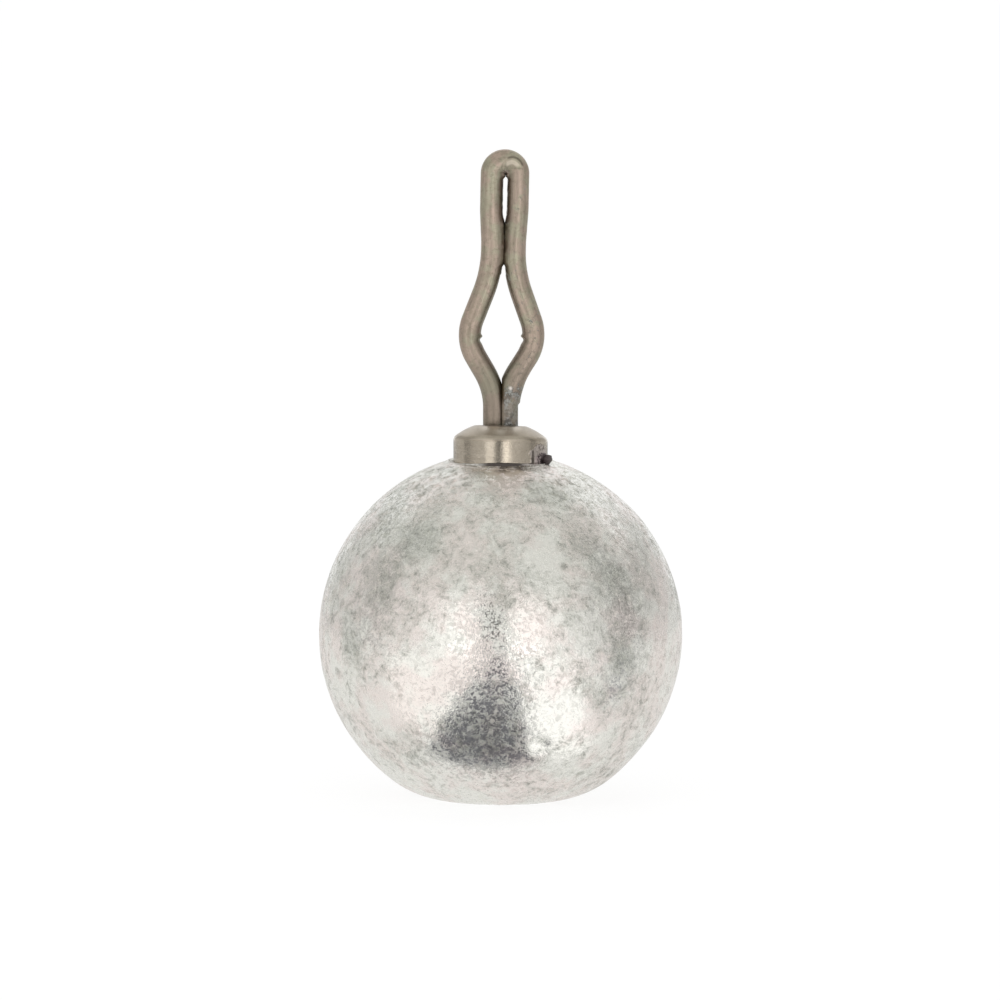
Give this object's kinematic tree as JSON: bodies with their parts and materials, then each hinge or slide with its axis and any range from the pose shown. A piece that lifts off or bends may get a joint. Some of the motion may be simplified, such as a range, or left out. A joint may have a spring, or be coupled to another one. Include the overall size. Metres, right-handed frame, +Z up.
{
  "type": "drop-shot fishing sinker",
  "caption": "Ball sinker that stands on a small flat, with a swivelling wire line clip that pinches the line above an open eye.",
  "frame": {"origin": "centre of the flat underneath the ball, on the surface that the sinker stands on", "axes": "+Z up along the swivel axis through the ball's centre; the line clip lies in the XZ plane, so fishing line runs through its eye along Y"},
  "size_m": [0.0114, 0.0114, 0.0204],
  "materials": {
    "ball_metal": "bare tungsten alloy, tumbled to a satin shine with fine pits and swirl marks",
    "barrel_plating": "nickel plating on brass, satin, a little yellowed",
    "clip_wire": "drawn stainless wire, satin, with marks of forming along it",
    "anchor_wire": "drawn stainless wire, satin",
    "cured_glue": "cured metal-filled adhesive, dark, slightly glossy"
  },
  "bodies": {
    "weight": {"ball": "ball_metal", "swivel_barrel": "barrel_plating", "anchor_eye": "anchor_wire", "glue": "cured_glue"},
    "clip": {"line_clip": "clip_wire"}
  },
  "joints": [
    {"name": "clip_swivel", "type": "hinge", "parent": "weight", "child": "clip", "pos_m": [0, 0, 0.01182], "axis": [0, 0, 1], "continuous": true}
  ]
}
